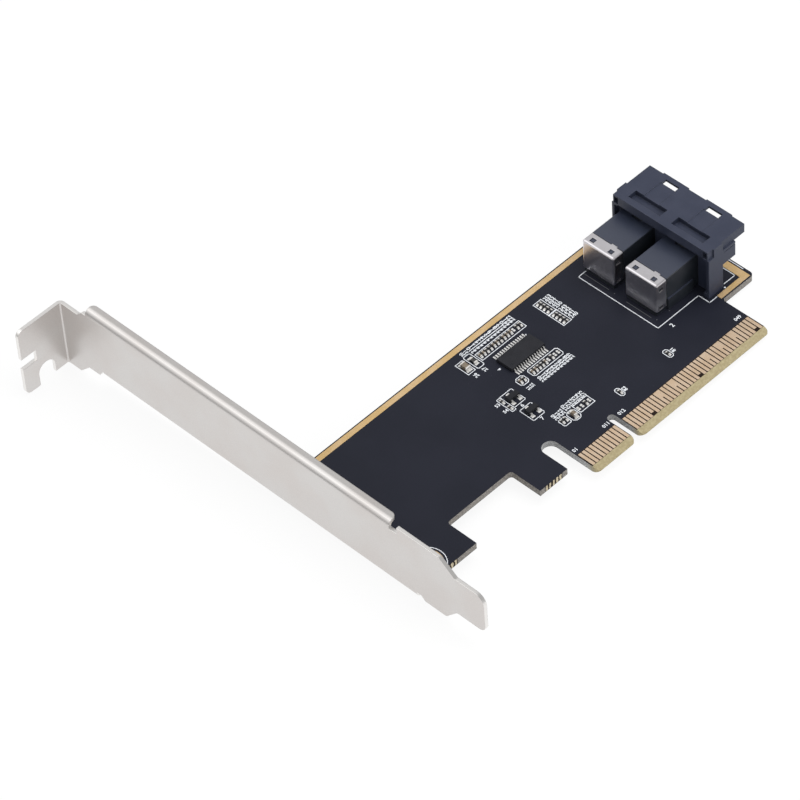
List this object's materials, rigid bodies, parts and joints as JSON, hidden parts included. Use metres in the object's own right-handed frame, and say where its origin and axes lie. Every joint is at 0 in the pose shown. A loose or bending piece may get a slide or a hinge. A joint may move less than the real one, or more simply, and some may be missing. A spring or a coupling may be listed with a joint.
{
  "type": "nvme adapter card",
  "caption": "Expansion card with a folded slot bracket that carries a motherboard slot's lanes to two right-angle internal cable connectors for solid-state drives.",
  "frame": {"origin": "centre of the key notch on the card edge, on the board's component side", "axes": "+X along the board away from the slot bracket, +Y from the card edge to the board's far edge, +Z out of the component side"},
  "size_m": [0.1181, 0.12, 0.0217],
  "materials": {
    "board_mask": "black solder mask over fibreglass laminate, satin",
    "contact_gold": "hard gold plating, smooth",
    "strip_gold": "immersion gold over copper, satin",
    "bracket_metal": "nickel-plated sheet steel, satin",
    "screw_metal": "zinc-plated steel",
    "guide_plastic": "black moulded plastic, fine matte",
    "body_plastic": "black moulded plastic, fine matte",
    "cap_metal": "bright stamped stainless sheet",
    "spring_gold": "gold-plated spring contacts",
    "solder": "bright tin solder",
    "chip_plastic": "black moulding compound, matte",
    "lead_metal": "tinned leads, satin",
    "capacitor_ceramic": "brown ceramic, slight sheen",
    "end_metal": "tinned end caps",
    "resistor_film": "black glazed film"
  },
  "bodies": {
    "root": {"circuit_board": "board_mask", "edge_contacts_front": "contact_gold", "edge_contacts_back": "contact_gold", "ground_strip": "strip_gold", "mounting_pads": "strip_gold", "bracket": "bracket_metal", "bracket_screws": "screw_metal", "port_guide": "guide_plastic", "port_body_1": "body_plastic", "port_body_2": "body_plastic", "port_cap_1": "cap_metal", "port_cap_2": "cap_metal", "port_contacts_1": "spring_gold", "port_contacts_2": "spring_gold", "port_joints_1": "solder", "port_joints_2": "solder", "chip_body": "chip_plastic", "chip_leads": "lead_metal", "transistor_bodies": "chip_plastic", "transistor_leads": "lead_metal", "bead_body": "resistor_film", "bead_ends": "end_metal", "large_capacitor_bodies": "capacitor_ceramic", "large_capacitor_ends": "end_metal", "capacitor_bodies": "capacitor_ceramic", "capacitor_ends": "end_metal", "resistor_bodies": "resistor_film", "resistor_ends": "end_metal", "bare_pads": "solder"}
  },
  "joints": []
}
